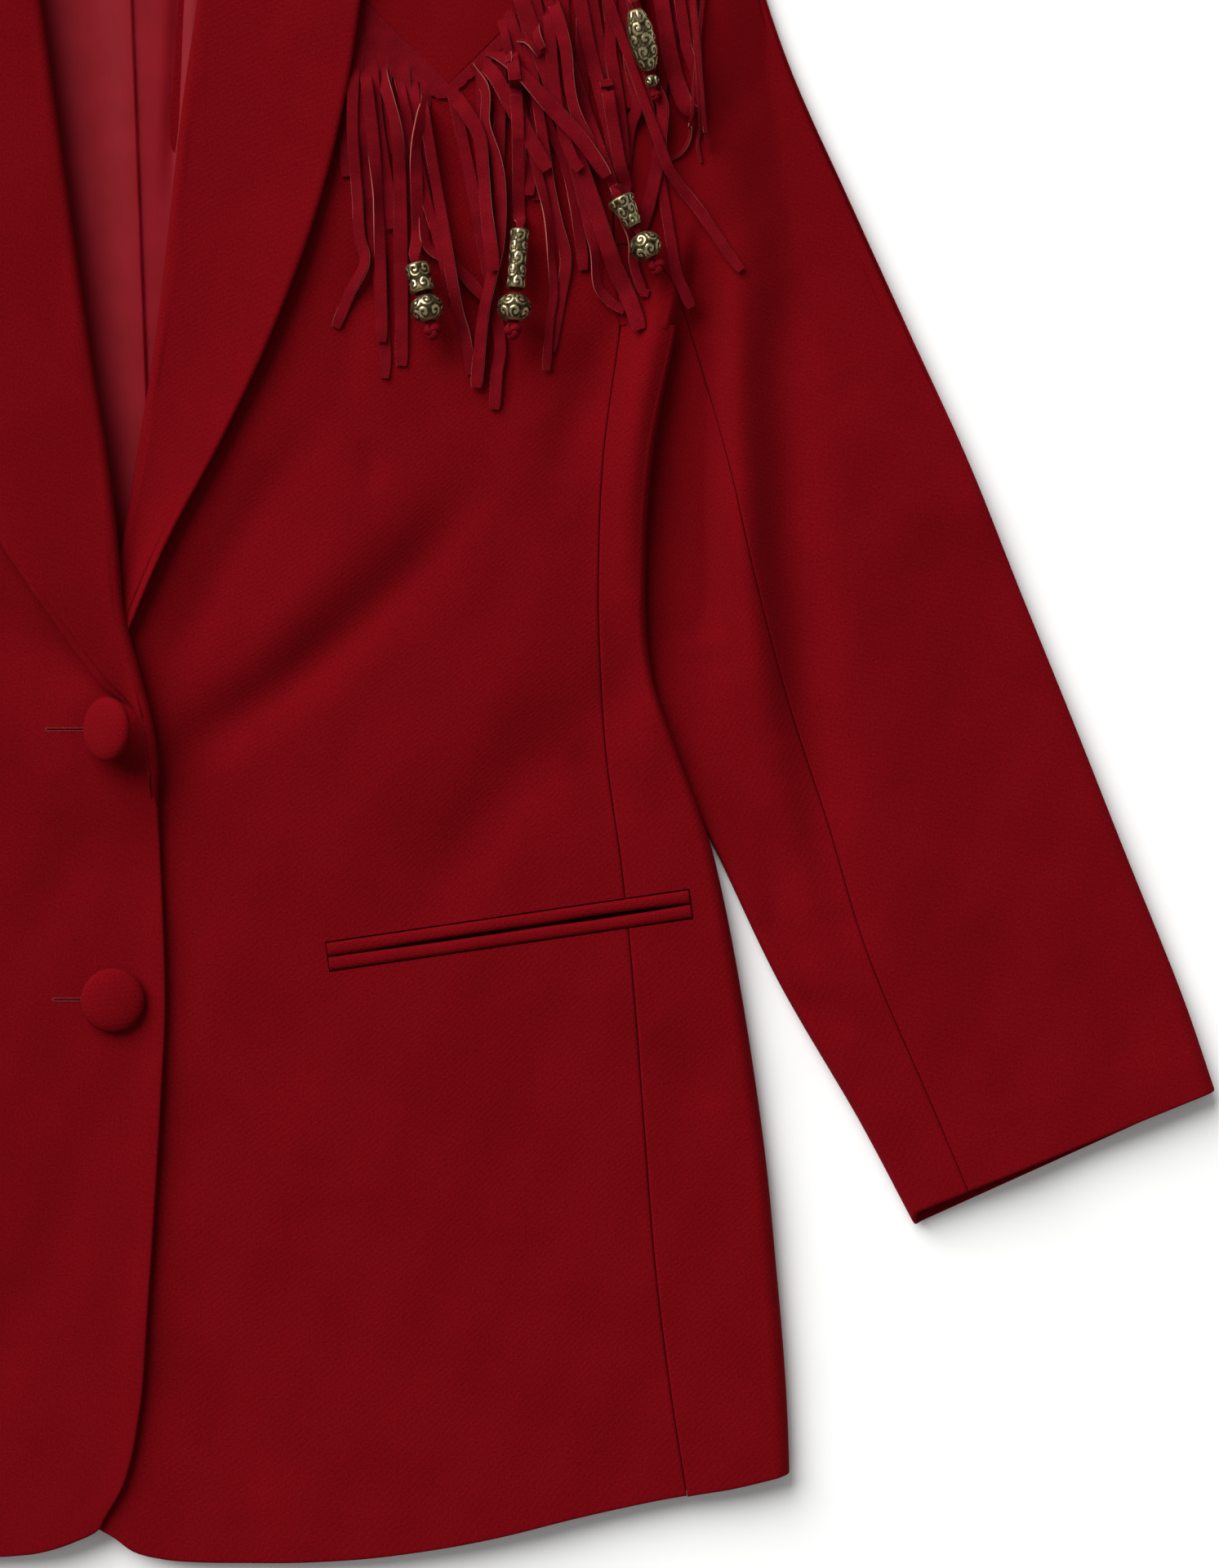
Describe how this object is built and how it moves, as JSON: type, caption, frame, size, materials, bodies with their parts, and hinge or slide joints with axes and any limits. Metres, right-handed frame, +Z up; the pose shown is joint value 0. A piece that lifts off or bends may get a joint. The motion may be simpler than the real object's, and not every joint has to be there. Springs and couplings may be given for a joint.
{
  "type": "western blazer",
  "caption": "Women's red wool western blazer laid flat, with a shawl collar, pointed front yokes, suede fringe with metal beads and jetted pockets.",
  "frame": {"origin": "on the surface it lies on, under the middle of the laid-out garment's bounding box", "axes": "+Z up out of the fronts, +Y from the hem towards the collar, +X towards the wearer's left sleeve"},
  "size_m": [0.8974, 0.823, 0.0357],
  "materials": {
    "red_wool": "soft brushed wool flannel, no sheen",
    "satin_lining": "smooth satin with a soft sheen",
    "red_suede": "suede with a short nap and pale cut edges",
    "antique_brass": "cast and engraved, worn bright on the high places and dark in the hollows"
  },
  "bodies": {
    "root": {"back": "red_wool", "back_lining": "satin_lining", "front_left": "red_wool", "side_panel_left": "red_wool", "yoke_left": "red_wool", "collar_left": "red_wool", "upper_sleeve_left": "red_wool", "under_sleeve_left": "red_wool", "upper_welt_left": "red_wool", "lower_welt_left": "red_wool", "fringe_left": "red_suede", "thong_a_left": "red_suede", "upper_bead_a_left": "antique_brass", "lower_bead_a_left": "antique_brass", "thong_b_left": "red_suede", "upper_bead_b_left": "antique_brass", "lower_bead_b_left": "antique_brass", "thong_c_left": "red_suede", "upper_bead_c_left": "antique_brass", "lower_bead_c_left": "antique_brass", "thong_d_left": "red_suede", "upper_bead_d_left": "antique_brass", "lower_bead_d_left": "antique_brass", "front_right": "red_wool", "side_panel_right": "red_wool", "yoke_right": "red_wool", "collar_right": "red_wool", "upper_sleeve_right": "red_wool", "under_sleeve_right": "red_wool", "upper_welt_right": "red_wool", "lower_welt_right": "red_wool", "fringe_right": "red_suede", "thong_a_right": "red_suede", "upper_bead_a_right": "antique_brass", "lower_bead_a_right": "antique_brass", "thong_b_right": "red_suede", "upper_bead_b_right": "antique_brass", "lower_bead_b_right": "antique_brass", "thong_c_right": "red_suede", "upper_bead_c_right": "antique_brass", "lower_bead_c_right": "antique_brass", "thong_d_right": "red_suede", "upper_bead_d_right": "antique_brass", "lower_bead_d_right": "antique_brass", "button_upper": "red_wool", "button_lower": "red_wool"}
  },
  "joints": []
}
